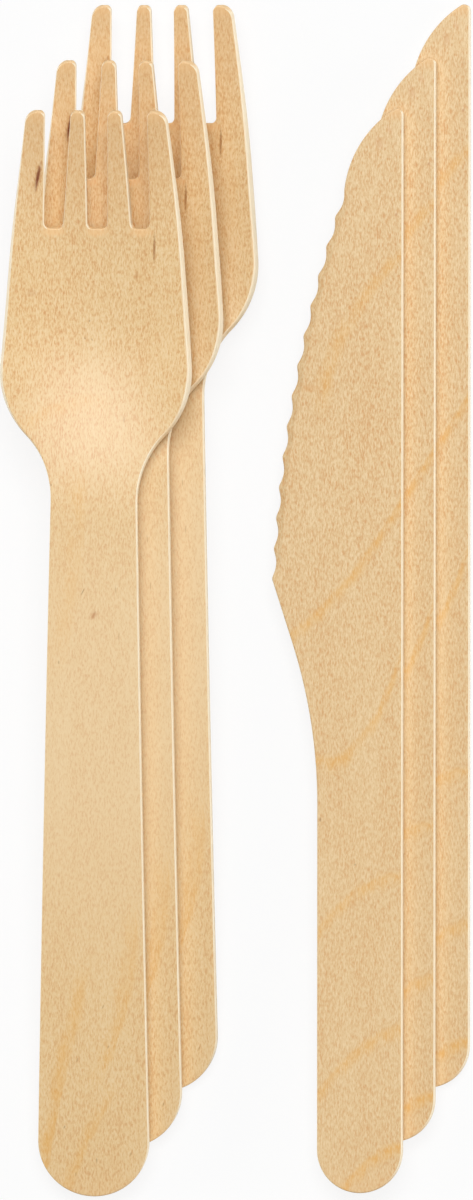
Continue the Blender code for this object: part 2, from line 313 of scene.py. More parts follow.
@dataclass(frozen=True)
class BirchFace:
    """Rotary-cut birch veneer, steamed, pressed hot and tumbled smooth.

    The eye sees a pale, even wood with fine short flecks along the grain, orange-brown lines where
    the knife crossed the year rings, a few brown mineral streaks, and a faint sheen. On the fork, a
    painted sheen pales the handle and a painted shade darkens the tines.
    """

    name: str
    wood: str
    streaks: tuple[Streak, ...]
    lines: tuple[GrowthLine, ...]
    length: float  # from the handle's end to the tips, in millimetres as all sizes here
    pale: str = "#F2D6AA"
    dark: str = "#D79E63"
    pore: str = "#B98650"
    ring: str = "#E8AE54"
    scorch: str = "#F2C48A"  # the warmer tone where the die cut across the grain
    flecks: Grain = Grain(0.17, 0.6, 3.0)
    vessels: Grain = Grain(0.16, 0.9, 1.0)
    clouds: Grain = Grain(5.0, 26.0, 3.0)
    wobble: Grain = Grain(1.6, 5.0, 2.0)
    fleck_tone: Ramp = Ramp(0.3, 0.7, -0.5, 0.5)  # below 0 the wood is darker, above it paler
    fleck_contrast: Ramp = Ramp(60.0, 105.0, 1.45, 1.8)  # from the handle up to the head
    cloud_tone: Ramp = Ramp(0.3, 0.7, -0.16, 0.16)
    pore_strength: Ramp = Ramp(0.3, 0.2, 0.0, 0.35)
    waver: float = 1.0  # how far a growth line strays to each side
    line_end: float = 5.0  # the stretch in which a growth line dies out
    line_grain: Ramp = Ramp(0.25, 0.75, 1.3, 0.5)  # its strength in dark flecks and in pale ones
    line_patches: Ramp = Ramp(0.35, 0.6, 0.45, 1.2)
    streak_ragged: float = 0.7  # how much the flecks eat into a streak
    streak_edge: tuple[float, float] = (0.6, 1.5)
    streak_depth: float = 10.0  # a streak goes right through the sheet
    end_scorch: Ramp = Ramp(0.0, 5.0, 0.2, 0.0)
    tip_scorch: float = 0.6
    tip_scorch_reach: float = 2.5
    roughness: Ramp = Ramp(0.3, 0.7, 0.31, 0.41)  # over the flecks
    grain_depth: float = 0.012
    grain_bump: float = 0.6
    ior: float = 1.55

    def material(self) -> Material:
        """Build the material.

        Returns:
            The veneer's face, which reads the flat place that each point keeps.
        """
        material = bpy.data.materials.new(self.name)
        add = node_adder(material)
        flat = add("ShaderNodeAttribute", attribute_name="blank").outputs["Vector"]
        place = add(MAPPING, {0: flat, "Scale": (1 / MM,) * 3})
        along = add(SEPARATE, {0: place}).outputs[1]
        flecks, vessels, clouds, wobble = (grain.spread(add, place) for grain in (
            self.flecks, self.vessels, self.clouds, self.wobble))
        tone = add(MAP_RANGE, self.fleck_tone.of(flecks))
        contrast = add(MAP_RANGE, self.fleck_contrast.of(along))
        tone = add(MATH, {0: tone, 1: contrast}, operation="MULTIPLY")
        cloud = add(MAP_RANGE, self.cloud_tone.of(clouds))
        tone = add(MATH, {0: tone, 1: cloud}, operation="ADD")
        layers = [
            (add(MATH, {0: tone, 1: 0.0}, operation="MAXIMUM"), self.pale),
            (add(MATH, {0: tone, 1: -1.0}, operation="MULTIPLY", use_clamp=True), self.dark),
            (add(MAP_RANGE, self.pore_strength.of(vessels)), self.pore),
        ]
        layers += [(self.ring_strength(add, place, wobble, flecks, line), self.ring)
                   for line in self.lines]
        layers += [(self.streak_strength(add, place, flecks, streak), streak.tone)
                   for streak in self.streaks]
        layers.append((self.scorch_strength(add, along), self.scorch))
        bump = add("ShaderNodeBump", {"Height": flecks, "Strength": self.grain_bump,
                                      "Distance": self.grain_depth * MM})
        rough = add(MAP_RANGE, self.roughness.of(flecks))
        shader = add("ShaderNodeBsdfPrincipled", {
            "Base Color": painted(add, self.wood, layers), "Roughness": rough, "IOR": self.ior,
            "Normal": bump})
        add("ShaderNodeOutputMaterial", {"Surface": shader})
        return material

    def ring_strength(self, add: Adder, place: Link, wobble: Link, flecks: Link, line: GrowthLine) -> Node:
        """Add one growth line.

        Args:
            add: The function add_node, for the material's tree.
            place: Millimetres in the flat sheet.
            wobble: The pattern that makes the line stray and come and go.
            flecks: The pattern of the flecks.
            line: The growth line.

        Returns:
            The line's strength.
        """
        parts = add(SEPARATE, {0: place}).outputs
        run, off = (parts[1], parts[0]) if line.run is Run.ALONG else (parts[0], parts[1])
        square, slope, start = line.curve()
        bend = add(MATH, {0: run, 1: square, 2: slope}, operation="MULTIPLY_ADD")
        curve = add(MATH, {0: bend, 1: run, 2: start}, operation="MULTIPLY_ADD")
        strayed = add(MATH, {0: wobble, 1: 2 * self.waver, 2: off}, operation="MULTIPLY_ADD")
        gap = add(MATH, {0: curve, 1: strayed}, operation="SUBTRACT")
        crest = -self.waver
        low, high = line.reach
        soft = (
            Ramp(crest - line.edge, crest).of(gap),
            Ramp(crest, line.fade + crest, line.strength, 0.0).of(gap),
        )
        even = (
            Ramp(low, low + self.line_end).of(run),
            Ramp(high - self.line_end, high, 1.0, 0.0).of(run),
            self.line_grain.of(flecks),
            self.line_patches.of(wobble),
        )
        steps = [add(MAP_RANGE, inputs, **SMOOTH) for inputs in soft]
        steps += [add(MAP_RANGE, inputs) for inputs in even]
        strength = steps[0]
        for step in steps[1:]:
            strength = add(MATH, {0: strength, 1: step}, operation="MULTIPLY")
        return strength

    def streak_strength(self, add: Adder, place: Link, flecks: Link, streak: Streak) -> Node:
        """Add one streak.

        Args:
            add: The function add_node, for the material's tree.
            place: Millimetres in the flat sheet.
            flecks: The pattern of the flecks.
            streak: The streak.

        Returns:
            The streak's strength.
        """
        local = add(MAPPING, {
            0: place, "Location": (streak.x, streak.y, 0.0),
            "Rotation": (0.0, 0.0, -math.radians(streak.lean)),
            "Scale": (streak.width / 2, streak.length / 2, self.streak_depth)}, vector_type="TEXTURE")
        reach = add(VECTOR_MATH, {0: local}, operation="LENGTH")
        ragged = add(MATH, {0: flecks, 1: self.streak_ragged, 2: reach}, operation="MULTIPLY_ADD")
        edge = Ramp(*self.streak_edge, streak.strength, 0.0)
        return add(MAP_RANGE, edge.of(ragged), **SMOOTH)

    def scorch_strength(self, add: Adder, along: Link) -> Node:
        """Add the warm tone at both ends of the piece.

        Args:
            add: The function add_node, for the material's tree.
            along: Millimetres from the handle's end.

        Returns:
            The tone's strength.
        """
        tip = Ramp(self.length - self.tip_scorch_reach, self.length, 0.0, self.tip_scorch)
        ends = [add(MAP_RANGE, ramp.of(along), **SMOOTH)
                for ramp in (self.end_scorch, tip)]
        return add(MATH, {0: ends[0], 1: ends[1]}, operation="MAXIMUM")


@dataclass(frozen=True)
class DieCutEdge:
    """The edge where the die sheared the birch: fresh, cream-white fibres, never pressed or oiled.

    The eye sees a paler line round each piece, streaked along the grain, and a warmer, matt
    tone where the cut crosses the grain.
    """

    name: str = "die-cut birch edge"
    fibre: str = "#FFF3D8"
    shade: str = "#FCE8C6"
    end_grain: str = "#EFCB98"
    fibres: Grain = Grain(0.12, 3.0, 2.0)
    fibre_tone: Ramp = Ramp(0.35, 0.65)
    crossing: Ramp = Ramp(0.35, 0.85)  # the end grain's strength where the edge faces along the grain
    fibre_depth: float = 0.02  # millimetres
    fibre_bump: float = 0.5
    roughness: float = 0.75

    def material(self) -> Material:
        """Build the material.

        Returns:
            The cut edge, which reads the flat place that each point keeps.
        """
        material = bpy.data.materials.new(self.name)
        add = node_adder(material)
        flat = add("ShaderNodeAttribute", attribute_name="blank").outputs["Vector"]
        fibres = self.fibres.spread(add, flat, MM)
        normal = add("ShaderNodeNewGeometry").outputs["Normal"]
        level = add(VECTOR_MATH, {0: normal, 1: (1.0, 1.0, 0.0)}, operation="MULTIPLY")
        level = add(VECTOR_MATH, {0: level}, operation="NORMALIZE")
        facing = add(SEPARATE, {0: level}).outputs[1]
        across = add(MATH, {0: facing}, operation="ABSOLUTE")
        layers = (
            (add(MAP_RANGE, self.fibre_tone.of(fibres)), self.fibre),
            (add(MAP_RANGE, self.crossing.of(across), **SMOOTH), self.end_grain),
        )
        bump = add("ShaderNodeBump", {"Height": fibres, "Strength": self.fibre_bump,
                                      "Distance": self.fibre_depth * MM})
        shader = add("ShaderNodeBsdfPrincipled", {
            "Base Color": painted(add, self.shade, layers), "Roughness": self.roughness,
            "Normal": bump})
        add("ShaderNodeOutputMaterial", {"Surface": shader})
        return material


def arc(centre: Vector, start: Vector, turn: float, error: float) -> list[Vector]:
    """Divide an arc into points.

    Args:
        centre: The arc's centre.
        start: Its first point.
        turn: Its angle, positive when anticlockwise.
        error: How far a chord may lie from the arc.

    Returns:
        The points, from start to the arc's end.
    """
    arm = start - centre
    step = 2 * math.acos(1 - min(1, error / arm.length))
    count = max(1, math.ceil(abs(turn) / step))
    return [centre + Matrix.Rotation(turn * i / count, 2) @ arm for i in range(count + 1)]


def rounded(corners: Sequence[tuple[float, float, float]], error: float) -> list[Vector]:
    """Round the corners of an open run of straight lines.

    A radius that is too large for its neighbours is cut down until the curves just meet.

    Args:
        corners: Each corner's x, y and radius. The two ends stay sharp.
        error: How far a chord may lie from its arc.

    Returns:
        The points of the run.
    """
    spots = [Vector(corner[:2]) for corner in corners]
    turns = [(b - a).angle_signed(c - b) for a, b, c in zip(spots, spots[1:], spots[2:])]
    reach = [corner[2] * math.tan(abs(turn) / 2) for corner, turn in zip(corners[1:], turns)]
    fits = [min(1, (b - a).length / max(one + two, SNAP))
            for a, b, one, two in zip(spots, spots[1:], [0.0] + reach, reach + [0.0])]
    points = [spots[0]]
    for before, here, turn, length, fit, next_fit in zip(spots, spots[1:], turns, reach, fits, fits[1:]):
        length *= min(fit, next_fit)
        along = (here - before).normalized()
        start = here - along * length
        radius = length / math.tan(abs(turn) / 2)
        centre = start + Vector((-along.y, along.x)) * math.copysign(radius, -turn)
        points += arc(centre, start, -turn, error)
    points.append(spots[-1])
    return [points[0]] + [b for a, b in zip(points, points[1:]) if (b - a).length > SNAP]


@dataclass(frozen=True)
class Sheet:
    """The veneer that the pieces are cut from, how its cut edges wear, and where a painted highlight lies
    along them.
    """

    thickness: float = 1.6 * MM
    arris: float = 0.22 * MM  # radius that tumbling leaves along every edge
    arris_steps: int = 4
    painted_highlight_from: float = 0.5  # edges that run more along +Y than this, the right-hand ones, take the pale cut over their whole upper arris: a painted highlight for the light from the right
    rim: float = 0.08 * MM  # width of the narrow faces that keep the flat faces flat up to the arris
    grid: float = 1.3 * MM  # size of the squares that the faces are divided into
    curve_error: float = 0.003 * MM

    def rings(self) -> list[tuple[float, float]]:
        """Work out the rings of points round the edge, from the lower face to the upper one.

        Returns:
            Each ring's inset and height.
        """
        angles = [math.pi / 2 * i / self.arris_steps for i in range(self.arris_steps + 1)]
        lower = [(self.arris + self.rim, 0.0)]
        lower += [(self.arris * (1 - math.sin(a)), self.arris * (1 - math.cos(a))) for a in angles]
        upper = [(inset, self.thickness - height) for inset, height in reversed(lower)]
        return lower + upper


@dataclass
class Blank:
    """A piece as the die cuts it: flat, with its lower face at z = 0."""

    outline: list[Vector]
    sheet: Sheet
    bevel_points: int = 0  # how many of the outline's first points have a bevel
    bevel_width: float = 0.0

    def inset(self, depths: Sequence[float]) -> list[Vector]:
        """Move each point of the outline inwards, along the bisector of its corner.

        Args:
            depths: How far the two lines at each point move.

        Returns:
            The points of the smaller outline.
        """
        line = self.outline
        moved = []
        for before, here, after, depth in zip(line[-1:] + line, line, line[1:] + line[:1], depths):
            along = (here - before).normalized()
            onwards = (after - here).normalized()
            inwards = Vector((-along.y, along.x))
            bisector = (inwards + Vector((-onwards.y, onwards.x))).normalized()
            moved.append(here + bisector * depth / bisector.dot(inwards))
        return moved

    def levels(self) -> list[tuple[list[float], float]]:
        """Work out where each ring of points lies.

        Returns:
            Each ring's insets, point by point, and its height.
        """
        rings = self.sheet.rings()
        count = len(self.outline)
        levels = [([inset] * count, height) for inset, height in rings]
        if self.bevel_points:
            inner = self.sheet.arris + self.sheet.rim
            for i, reach in enumerate((self.bevel_width, self.bevel_width + self.sheet.rim), 1):
                plain = inner + i * self.sheet.rim
                insets = [reach] * self.bevel_points + [plain] * (count - self.bevel_points)
                levels.append((insets, self.sheet.thickness))
        return levels

    def mesh(self, name: str) -> Mesh:
        """Build the flat piece, with its face attribute "cut" set on the cut edge, and on the right-hand
        edges' upper arris as a painted highlight.

        Args:
            name: The mesh's name.

        Returns:
            A closed mesh, divided by a grid so that it can bend.
        """
        solid = bmesh.new()
        cut = solid.faces.layers.bool.new("cut")
        loops = [[solid.verts.new((point.x, point.y, height)) for point in self.inset(insets)]
                 for insets, height in self.levels()]
        half = self.sheet.arris_steps // 2
        first = 1 + half  # below it are the rim and half of the arris, which belong to the lower face
        last = len(self.sheet.rings()) - 2 - first
        for number, (lower, upper) in enumerate(zip(loops, loops[1:])):
            for i, here in enumerate(self.outline):
                face = solid.faces.new((lower[i - 1], lower[i], upper[i], upper[i - 1]))
                along = (here - self.outline[i - 1]).normalized()
                # Right-hand edges run along +Y: the pale cut goes over their whole upper arris, a painted
                # highlight.
                painted_highlight_steps = half if along.y > self.sheet.painted_highlight_from else 0
                face[cut] = first <= number <= last + painted_highlight_steps
        solid.faces.new(loops[0][::-1])
        solid.faces.new(loops[-1])
        self.divide(solid)
        mesh = bpy.data.meshes.new(name)
        solid.to_mesh(mesh)
        solid.free()
        mesh.shade_smooth()
        return mesh

    def divide(self, solid: bmesh.types.BMesh) -> None:
        """Cut the solid by planes across X and Y.

        Args:
            solid: The flat piece.
        """
        step = self.sheet.grid
        for axis, normal in enumerate((Vector((1, 0, 0)), Vector((0, 1, 0)))):
            values = [point[axis] for point in self.outline]
            for i in range(math.ceil(min(values) / step), math.ceil(max(values) / step)):
                geometry = solid.verts[:] + solid.edges[:] + solid.faces[:]
                bmesh.ops.bisect_plane(solid, geom=geometry, dist=SNAP, plane_co=normal * step * i,
                                       plane_no=normal)


@dataclass
class PieceTree:
    """A geometry node tree with named inputs, which shapes a flat piece and gives it its materials."""

    name: str
    sizes: dict[str, float]
    tree: NodeTree = field(init=False)
    add: Adder = field(init=False)
    size: dict[str, NodeSocket] = field(init=False)
    flat: NodeSocket = field(init=False)
    place: Node = field(init=False)
    x: NodeSocket = field(init=False)
    y: NodeSocket = field(init=False)
    z: NodeSocket = field(init=False)

    def __post_init__(self) -> None:
        """Make the tree, its inputs and the flat piece's coordinates."""
        self.tree = bpy.data.node_groups.new(self.name, "GeometryNodeTree")
        self.add = partial(add_node, self.tree)
        face = self.tree.interface
        face.new_socket("Piece", in_out="INPUT", socket_type="NodeSocketGeometry")
        face.new_socket("Piece", in_out="OUTPUT", socket_type="NodeSocketGeometry")
        for name in self.sizes:
            face.new_socket(name, in_out="INPUT", socket_type="NodeSocketFloat")
        entry = self.add("NodeGroupInput")
        self.size = {name: entry.outputs[name] for name in self.sizes}
        self.flat = entry.outputs["Piece"]
        self.place = self.add("GeometryNodeInputPosition")
        self.x, self.y, self.z = self.add(SEPARATE, {0: self.place}).outputs

    def finish(self, position: Link, face: Material, edge: Material) -> None:
        """Move the points, keep their flat place as the attribute "blank" and set the materials.

        Args:
            position: The shaped place of each point.
            face: The material of the two faces.
            edge: The material of the cut edge.
        """
        kept = self.add("GeometryNodeStoreNamedAttribute", {
            "Geometry": self.flat, "Name": "blank", "Value": self.place},
            data_type="FLOAT_VECTOR", domain="POINT")
        moved = self.add("GeometryNodeSetPosition", {"Geometry": kept, "Position": position})
        real = self.add("GeometryNodeRealizeInstances", {"Geometry": moved})
        faced = self.add("GeometryNodeSetMaterial", {"Geometry": real, "Material": face})
        cut = self.add("GeometryNodeInputNamedAttribute", {"Name": "cut"}, data_type="BOOLEAN")
        edged = self.add("GeometryNodeSetMaterial", {
            "Geometry": faced, "Material": edge, "Selection": cut})
        self.add("NodeGroupOutput", {"Piece": edged})

    def apply(self, flat: Mesh) -> Mesh:
        """Run the tree on a flat piece.

        Args:
            flat: The flat piece.

        Returns:
            The shaped piece as a plain mesh.
        """
        carrier = bpy.data.objects.new(self.name, flat)
        bpy.context.collection.objects.link(carrier)
        modifier = carrier.modifiers.new(self.name, "NODES")
        modifier.node_group = self.tree
        for socket in self.tree.interface.items_tree:
            if socket.in_out == "INPUT" and socket.name in self.sizes:
                modifier[socket.identifier] = self.sizes[socket.name]
        shown = carrier.evaluated_get(bpy.context.evaluated_depsgraph_get())
        mesh = bpy.data.meshes.new_from_object(shown)
        carrier.modifiers.remove(modifier)
        bpy.data.objects.remove(carrier)
        bpy.data.meshes.remove(flat)
        return mesh


@dataclass
class Fork:
    """The fork: die-cut, then pressed so that its head is a bowl and its handle bows."""

    sheet: Sheet
    wood: str = "#EAC892"  # the veneer's own tone
    length: float = 164.65 * MM
    end_width: float = 17.2 * MM
    neck_width: float = 12.9 * MM
    neck_down: float = 53.3 * MM  # "down" is measured from the tine tips
    neck_radius: float = 16.0 * MM
    shoulder_width: float = 29.6 * MM
    shoulder_down: float = 44.6 * MM
    shoulder_radius: float = 15.5 * MM
    side_width: float = 25.5 * MM
    side_down: float = 18.0 * MM
    side_radius: float = 250.0 * MM
    tine_spread: float = 21.2 * MM
    outer_tip_radius: float = 2.3 * MM
    tine_tip_radius: float = 1.02 * MM
    tine_length: float = 17.8 * MM
    slot_corner_radius: float = 0.9 * MM
    centre_slot_mouth: float = 3.5 * MM
    centre_slot_foot: float = 3.1 * MM
    inner_tine_tip: float = 2.1 * MM
    inner_tine_foot: float = 3.7 * MM
    side_slot_mouth: float = 3.9 * MM
    side_slot_foot: float = 2.9 * MM
    tine_lift: float = 4.0 * MM
    head_low_down: float = 32.0 * MM
    crest_height: float = 5.0 * MM
    crest_down: float = 62.0 * MM
    cup_depth: float = 2.8 * MM
    cup_tip_share: float = 0.35
    cup_full_down: float = 24.0 * MM
    cup_fade_down: float = 38.0 * MM
    cup_end_down: float = 58.0 * MM
    slope_step: float = 0.1 * MM  # over which the press tool's slope is taken

    def outline(self) -> list[Vector]:
        """Draw the outline.

        Returns:
            Its points, anticlockwise from the middle of the handle's rounded end.
        """
        tip = self.length
        foot = tip - self.tine_length
        inner_tip = self.centre_slot_mouth / 2 + self.inner_tine_tip
        inner_foot = self.centre_slot_foot / 2 + self.inner_tine_foot
        end = self.end_width / 2
        neck = self.neck_width / 2
        lean = math.atan((end - neck) / (tip - self.neck_down))
        end_radius = end / math.tan((math.pi / 2 + lean) / 2)
        right = rounded([
            (0, 0, 0),
            (end, 0, end_radius),
            (neck, tip - self.neck_down, self.neck_radius),
            (self.shoulder_width / 2, tip - self.shoulder_down, self.shoulder_radius),
            (self.side_width / 2, tip - self.side_down, self.side_radius),
            (self.tine_spread / 2, tip, self.outer_tip_radius),
            (inner_tip + self.side_slot_mouth, tip, self.tine_tip_radius),
            (inner_foot + self.side_slot_foot, foot, self.slot_corner_radius),
            (inner_foot, foot, self.slot_corner_radius),
            (inner_tip, tip, self.tine_tip_radius),
            (self.centre_slot_mouth / 2, tip, self.tine_tip_radius),
            (self.centre_slot_foot / 2, foot, self.slot_corner_radius),
            (0, foot, 0),
        ], self.sheet.curve_error)
        left = [Vector((-point.x, point.y)) for point in reversed(right)]
        return right + left[1:-1]

    def veneer(self) -> BirchFace:
        """Return the finish of the fork's faces."""
        return BirchFace("birch veneer, fork", self.wood, FORK_MARKS_AND_PAINTED_LIGHT, FORK_LINES, self.length / MM)

    @staticmethod
    def press_height(press: PieceTree, x: Link, down: Link) -> Node:
        """Add the formula of the press tool's form.

        Args:
            press: The tree that the formula joins.
            x: Distance from the fork's axis.
            down: Distance from the tine tips.

        Returns:
            The height of the sheet's middle there.
        """
        add = press.add
        size = press.size
        rise = add(MAP_RANGE, {0: down, 1: 0.0, 2: size["Head low"], 3: 1.0, 4: 0.0})
        rise = add(MATH, {0: rise, 1: 2.0}, operation="POWER")
        tines = add(MATH, {0: rise, 1: size["Tine lift"]}, operation="MULTIPLY")
        crest = add(MAP_RANGE, {0: down, 1: size["Head low"], 2: size["Crest"]}, **SMOOTH)
        past = add(MAP_RANGE, {0: down, 1: size["Crest"], 2: size["Length"]})
        bow = add(MATH, {0: past, 1: 2.0}, operation="POWER")
        bridge = add(MATH, {0: crest, 1: bow}, operation="SUBTRACT")
        full = add(MAP_RANGE, {0: down, 1: 0.0, 2: size["Cup full"], 3: size["Cup at tips"], 4: 1.0},
                   **SMOOTH)
        fade = add(MAP_RANGE, {0: down, 1: size["Cup fades"], 2: size["Cup ends"], 3: 1.0, 4: 0.0},
                   **SMOOTH)
        aside = add(MATH, {0: x}, operation="ABSOLUTE")
        across = add(MATH, {0: aside, 1: size["Half width"]}, operation="DIVIDE")
        cup = add(MATH, {0: across, 1: 2.0}, operation="POWER")
        for part in (size["Cup depth"], full, fade):
            cup = add(MATH, {0: cup, 1: part}, operation="MULTIPLY")
        body = add(MATH, {0: bridge, 1: size["Crest height"], 2: tines}, operation="MULTIPLY_ADD")
        return add(MATH, {0: body, 1: cup}, operation="ADD")

    def build(self, edge: Material) -> Mesh:
        """Cut, press and dress the fork.

        Args:
            edge: The material of the cut edge.

        Returns:
            The fork's mesh, with its handle's end at the origin.
        """
        press = PieceTree("fork press", {
            "Length": self.length, "Tine lift": self.tine_lift, "Head low": self.head_low_down,
            "Crest height": self.crest_height, "Crest": self.crest_down,
            "Half width": self.shoulder_width / 2, "Cup depth": self.cup_depth,
            "Cup at tips": self.cup_tip_share, "Cup full": self.cup_full_down,
            "Cup fades": self.cup_fade_down, "Cup ends": self.cup_end_down,
            "Thickness": self.sheet.thickness,
        })
        add = press.add
        down = add(MATH, {0: press.size["Length"], 1: press.y}, operation="SUBTRACT")
        beside = add(MATH, {0: press.x, 1: self.slope_step}, operation="ADD")
        above = add(MATH, {0: down, 1: self.slope_step}, operation="SUBTRACT")
        height = self.press_height(press, press.x, down)
        slopes = []
        for x, y in ((beside, down), (press.x, above)):
            drop = add(MATH, {0: height, 1: self.press_height(press, x, y)}, operation="SUBTRACT")
            slopes.append(add(MATH, {0: drop, 1: self.slope_step}, operation="DIVIDE"))
        upright = add(COMBINE, {0: slopes[0], 1: slopes[1], 2: 1.0})
        normal = add(VECTOR_MATH, {0: upright}, operation="NORMALIZE")
        middle = add(COMBINE, {0: press.x, 1: press.y, 2: height})
        off_middle = add(MATH, {0: press.size["Thickness"], 1: -0.5, 2: press.z},
                         operation="MULTIPLY_ADD")
        shift = add(VECTOR_MATH, {0: normal, "Scale": off_middle}, operation="SCALE")
        place = add(VECTOR_MATH, {0: middle, 1: shift}, operation="ADD")
        press.finish(place, self.veneer().material(), edge)
        return press.apply(Blank(self.outline(), self.sheet).mesh("fork"))


@dataclass
class Knife:
    """The knife: die-cut and flat, with hollows between the points of its teeth and a ground edge."""

    sheet: Sheet
    wood: str = "#E5C491"  # the veneer's own tone
    length: float = 164.1 * MM
    handle_width: float = 13.0 * MM
    neck_down: float = 92.8 * MM  # "down" is measured from the tip
    neck_radius: float = 80.0 * MM
    heel_width: float = 19.9 * MM
    heel_down: float = 71.2 * MM
    tip_radius: float = 0.9 * MM
    belly_radius: float = 16.5 * MM
    first_tooth_width: float = 8.9 * MM
    first_tooth_down: float = 11.9 * MM
    tooth_line_radius: float = 208.0 * MM
    tooth_count: int = 13
    tooth_depth: float = 0.5 * MM
    tooth_softness: float = 0.25
    tooth_steps: int = 18
    follow: float = 1.6 * MM  # depth to which the sheet's points move with the hollows
    bevel_width: float = 1.2 * MM
    cutting_edge: float = 1.2 * MM

    def belly(self) -> list[Vector]:
        """Draw the rounded tip and the plain curve below it.

        Returns:
            Its points, down to the first tooth.
        """
        error = self.sheet.curve_error
        tip_centre = Vector((-self.tip_radius, self.length - self.tip_radius))
        first_tooth = Vector((-self.first_tooth_width, self.length - self.first_tooth_down))
        reach = self.belly_radius - self.tip_radius
        centres = intersect_sphere_sphere_2d(tip_centre, reach, first_tooth, self.belly_radius)
        centre = max(centres, key=lambda spot: spot.x)
        meeting = (tip_centre - centre).normalized()
        tip_arc = arc(tip_centre, Vector((0, tip_centre.y)), math.atan2(meeting.y, meeting.x), error)
        start = centre + meeting * self.belly_radius
        turn = -(start - centre).angle_signed(first_tooth - centre)
        return tip_arc + arc(centre, start, turn, error)[1:]

    def tooth_line(self) -> tuple[Vector, float, float]:
        """Find the bow through the teeth's points.

        Returns:
            Its centre, its first angle and its turn.
        """
        first_tooth = Vector((-self.first_tooth_width, self.length - self.first_tooth_down))
        heel = Vector((-self.heel_width, self.length - self.heel_down))
        chord = heel - first_tooth
        across = Vector((-chord.y, chord.x)).normalized()
        radius = self.tooth_line_radius
        centre = (first_tooth + heel) / 2 + across * math.sqrt(radius ** 2 - chord.length ** 2 / 4)
        arm = first_tooth - centre
        return centre, math.atan2(arm.y, arm.x), 2 * math.asin(chord.length / 2 / radius)

    def blank(self) -> Blank:
        """Draw the knife before its teeth are cut.

        Returns:
            The flat piece, with the tooth line first in its outline.
        """
        centre, start, turn = self.tooth_line()
        count = self.tooth_count * self.tooth_steps
        angles = [start + turn * i / count for i in range(count + 1)]
        line = [centre + Vector((math.cos(a), math.sin(a))) * self.tooth_line_radius for a in angles]
        curve = self.belly()
        end = self.handle_width
        plain = rounded([
            (line[-1].x, line[-1].y, 0),
            (-end, self.length - self.neck_down, self.neck_radius),
            (-end, 0, end / 2),
            (0, 0, end / 2),
            (curve[0].x, curve[0].y, 0),
        ], self.sheet.curve_error)[1:] + curve[1:-1]
        return Blank(line + plain, self.sheet, count + 1, self.bevel_width)

    def veneer(self) -> BirchFace:
        """Return the finish of the knife's faces."""
        return BirchFace("birch veneer, knife", self.wood, KNIFE_STREAKS, KNIFE_LINES, self.length / MM)

    @staticmethod
    def hollow_depth(cutter: PieceTree, teeth: Link, left: Link, reach: Link) -> Node:
        """Add the formula of the hollows between the points of the teeth.

        Args:
            cutter: The tree that the formula joins.
            teeth: How many teeth lie between the bow's start and here.
            left: How many are still to come.
            reach: How far inside the bow through the teeth's points this is.

        Returns:
            How far the wood moves inwards.
        """
        add = cutter.add
        size = cutter.size
        begun = add(MATH, {0: teeth, 1: 0.0}, operation="GREATER_THAN")
        unfinished = add(MATH, {0: left, 1: 0.0}, operation="GREATER_THAN")
        inside = add(MATH, {0: begun, 1: unfinished}, operation="MULTIPLY")
        turn = add(MATH, {0: teeth, 1: math.pi}, operation="MULTIPLY")
        sine = add(MATH, {0: turn}, operation="SINE")
        swing = add(MATH, {0: sine, 1: 2.0}, operation="POWER")
        soft = add(MATH, {0: size["Softness"], 1: size["Softness"]}, operation="MULTIPLY")
        waves = []
        for part in (swing, 1.0):
            total = add(MATH, {0: part, 1: soft}, operation="ADD")
            root = add(MATH, {0: total}, operation="SQRT")
            waves.append(add(MATH, {0: root, 1: size["Softness"]}, operation="SUBTRACT"))
        near = add(MAP_RANGE, {0: reach, 1: 0.0, 2: size["Follow"], 3: 1.0, 4: 0.0})
        depth = add(MATH, {0: waves[0], 1: waves[1]}, operation="DIVIDE")
        for part in (size["Hollow"], near, inside):
            depth = add(MATH, {0: depth, 1: part}, operation="MULTIPLY")
        return depth

    def build(self, edge: Material) -> Mesh:
        """Cut, tooth, grind and dress the knife.

        Args:
            edge: The material of the cut edge.

        Returns:
            The knife's mesh, with the foot of its back at the origin.
        """
        centre, start, turn = self.tooth_line()
        cutter = PieceTree("knife teeth", {
            "Centre across": centre.x, "Centre along": centre.y, "Radius": self.tooth_line_radius,
            "First angle": start, "Turn": turn, "Teeth": self.tooth_count,
            "Hollow": self.tooth_depth, "Softness": self.tooth_softness, "Follow": self.follow,
            "Bevel width": self.bevel_width, "Ground off": 1 - self.cutting_edge / self.sheet.thickness,
        })
        add = cutter.add
        size = cutter.size
        rel_x = add(MATH, {0: cutter.x, 1: size["Centre across"]}, operation="SUBTRACT")
        rel_y = add(MATH, {0: cutter.y, 1: size["Centre along"]}, operation="SUBTRACT")
        outwards = add(COMBINE, {0: rel_x, 1: rel_y})
        arm = add(VECTOR_MATH, {0: outwards}, operation="LENGTH")
        reach = add(MATH, {0: size["Radius"], 1: arm}, operation="SUBTRACT")
        angle = add(MATH, {0: rel_y, 1: rel_x}, operation="ARCTAN2")
        swept = add(MATH, {0: angle, 1: size["First angle"]}, operation="SUBTRACT")
        share = add(MATH, {0: swept, 1: size["Turn"]}, operation="DIVIDE")
        teeth = add(MATH, {0: share, 1: size["Teeth"]}, operation="MULTIPLY")
        left = add(MATH, {0: size["Teeth"], 1: teeth}, operation="SUBTRACT")
        depth = self.hollow_depth(cutter, teeth, left, reach)
        inwards = add(MATH, {0: depth, 1: -1.0}, operation="MULTIPLY")
        unit = add(VECTOR_MATH, {0: outwards}, operation="NORMALIZE")
        shift = add(VECTOR_MATH, {0: unit, "Scale": inwards}, operation="SCALE")
        ground = add(MAP_RANGE, {0: reach, 1: 0.0, 2: size["Bevel width"], 3: size["Ground off"], 4: 0.0})
        for distance in (teeth, left):
            ramp = add(MAP_RANGE, {0: distance}, **SMOOTH)
            ground = add(MATH, {0: ground, 1: ramp}, operation="MULTIPLY")
        kept = add(MATH, {0: 1.0, 1: ground}, operation="SUBTRACT")
